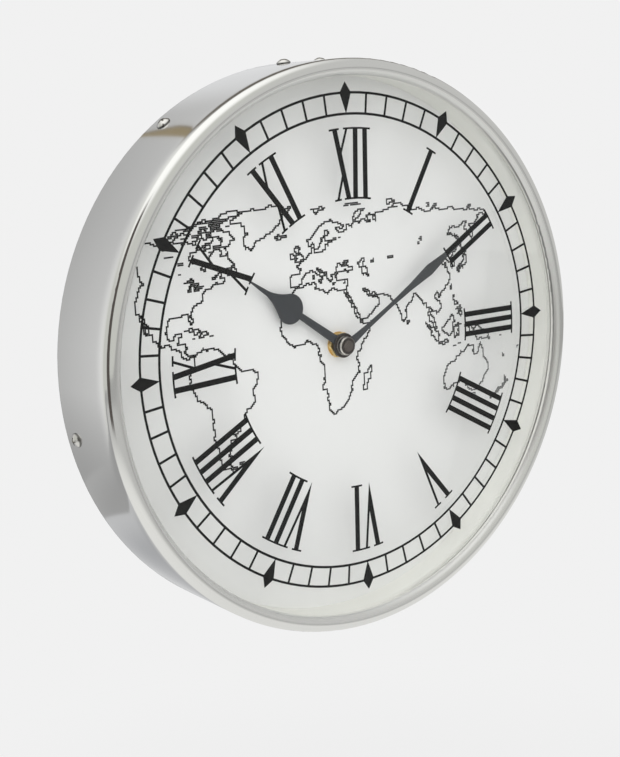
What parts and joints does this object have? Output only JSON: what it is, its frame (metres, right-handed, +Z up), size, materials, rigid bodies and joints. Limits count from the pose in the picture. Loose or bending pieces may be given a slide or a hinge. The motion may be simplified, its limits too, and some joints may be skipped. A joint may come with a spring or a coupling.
{
  "type": "wall clock with world map dial",
  "caption": "Round wall clock: polished drum case with rolled lip, glass printed with Roman numerals, map dial, spade hands and a geared quartz movement behind an access hole.",
  "frame": {"origin": "centre of the case's rear rim, in the plane that meets the wall", "axes": "+Y into the wall, so the dial faces -Y; +Z up towards twelve o'clock; +X towards three o'clock"},
  "size_m": [0.3048, 0.0525, 0.3066],
  "materials": {
    "chrome_case": "polished nickel plate",
    "clear_glass": "clear",
    "black_ink": "printed",
    "white_wall": "matt",
    "dial_paper": "satin print",
    "fibre_board": "raw fibre board",
    "back_panel": "brown pressed fibre board",
    "screw_plate": "bright plate",
    "hanger_steel": "zinc plate",
    "hand_enamel": "dark satin enamel",
    "hub_metal": "dark satin with worn edges",
    "nut_brass": "turned",
    "rubber_black": "matt",
    "movement_shell": "moulded texture",
    "wheel_plastic": "moulded",
    "spring_steel": "spring temper",
    "magnet_grey": "sintered",
    "copper_wire": "enamelled",
    "circuit_green": "lacquered",
    "crystal_can": "drawn can",
    "battery_wrap": "printed wrap"
  },
  "bodies": {
    "case": {"case_shell": "chrome_case", "glass": "clear_glass", "glass_print": "black_ink", "spacer_ring": "white_wall", "dial_face": "dial_paper", "dial_board": "fibre_board", "rear_spacer": "fibre_board", "back_board": "back_panel", "band_screws": "screw_plate", "hanger_screws": "screw_plate", "hanger_bracket": "hanger_steel", "mounting_nut": "nut_brass", "mounting_washer": "nut_brass", "rubber_washer": "rubber_black", "threaded_bush": "nut_brass", "movement_box": "movement_shell", "movement_cover": "movement_shell", "train_bridge": "wheel_plastic", "stator": "spring_steel", "coil_core": "spring_steel", "coil_bobbin": "wheel_plastic", "coil_winding": "copper_wire", "circuit_board": "circuit_green", "quartz_crystal": "crystal_can", "chip_cover": "rubber_black", "battery": "battery_wrap", "contact_positive": "spring_steel", "contact_negative": "spring_steel"},
    "minute": {"minute_hand": "hand_enamel", "minute_hand_hub": "hub_metal", "minute_cap": "hub_metal", "minute_arbor": "nut_brass", "clutch_spring": "spring_steel"},
    "hour": {"hour_hand": "hand_enamel", "hour_hand_hub": "hub_metal", "hour_wheel": "wheel_plastic"},
    "motion": {"motion_wheel": "wheel_plastic", "set_knob": "movement_shell"},
    "rotor": {"rotor_pinion": "wheel_plastic", "rotor_magnet": "magnet_grey"},
    "step": {"step_wheel": "wheel_plastic"},
    "second": {"second_wheel": "wheel_plastic"},
    "third": {"third_wheel": "wheel_plastic"},
    "centre": {"centre_wheel": "wheel_plastic"}
  },
  "joints": [
    {"name": "minute_turn", "type": "hinge", "parent": "case", "child": "minute", "pos_m": [0, 0, 0.0017], "axis": [0, 1, 0], "continuous": true},
    {"name": "hour_turn", "type": "hinge", "parent": "case", "child": "hour", "pos_m": [0, 0, 0.0017], "axis": [0, 1, 0], "continuous": true},
    {"name": "motion_turn", "type": "hinge", "parent": "case", "child": "motion", "pos_m": [0.01128, 0, 0.0058], "axis": [0, 1, 0], "continuous": true},
    {"name": "rotor_turn", "type": "hinge", "parent": "case", "child": "rotor", "pos_m": [0.01101, 0, 0.01718], "axis": [0, 1, 0], "continuous": true},
    {"name": "step_turn", "type": "hinge", "parent": "case", "child": "step", "pos_m": [0.00443, 0, 0.01957], "axis": [0, 1, 0], "continuous": true},
    {"name": "second_turn", "type": "hinge", "parent": "case", "child": "second", "pos_m": [-0.00402, 0, 0.01649], "axis": [0, 1, 0], "continuous": true},
    {"name": "third_turn", "type": "hinge", "parent": "case", "child": "third", "pos_m": [-0.00942, 0, 0.00714], "axis": [0, 1, 0], "continuous": true},
    {"name": "centre_turn", "type": "hinge", "parent": "case", "child": "centre", "pos_m": [0, 0, 0.0017], "axis": [0, 1, 0], "continuous": true}
  ],
  "couplings": [
    {"joint": "hour_turn", "follows": "minute_turn", "ratio": 0.083333},
    {"joint": "motion_turn", "follows": "minute_turn", "ratio": -0.33333},
    {"joint": "step_turn", "follows": "rotor_turn", "ratio": -0.16667},
    {"joint": "second_turn", "follows": "rotor_turn", "ratio": 0.033333},
    {"joint": "third_turn", "follows": "rotor_turn", "ratio": -0.0041667},
    {"joint": "centre_turn", "follows": "rotor_turn", "ratio": 0.00055556}
  ]
}
